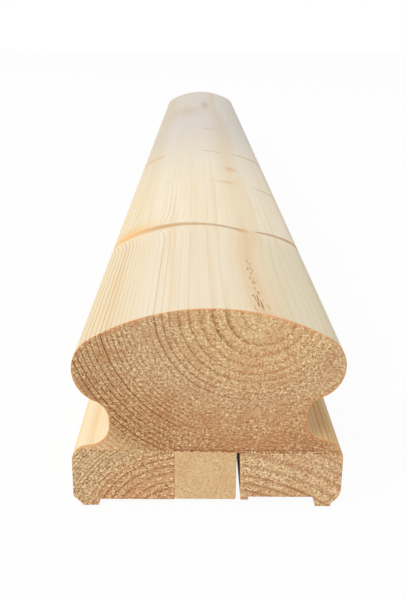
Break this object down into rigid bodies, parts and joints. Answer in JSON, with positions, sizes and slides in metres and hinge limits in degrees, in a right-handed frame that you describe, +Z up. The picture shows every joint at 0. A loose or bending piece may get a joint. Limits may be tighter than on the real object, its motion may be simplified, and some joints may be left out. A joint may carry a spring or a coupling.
{
  "type": "timber handrail",
  "caption": "Straight moulded softwood handrail with a rounded grip, finger coves each side and a grooved base holding a loose infill strip.",
  "frame": {"origin": "on the level of the feet, in the middle of the rail's width and length", "axes": "+Y along the rail towards the far end, +Z up out of the grip, +X to the right as seen from the near end"},
  "size_m": [0.07, 0.7, 0.055],
  "materials": {
    "head_timber": "planed bare softwood, sawn end grain",
    "left_base_timber": "planed bare softwood, sawn end grain",
    "right_base_timber": "planed bare softwood, sawn end grain",
    "infill_timber": "planed bare softwood"
  },
  "bodies": {
    "root": {"head_rail": "head_timber", "left_base_strip": "left_base_timber", "right_base_strip": "right_base_timber", "infill_strip": "infill_timber"}
  },
  "joints": []
}
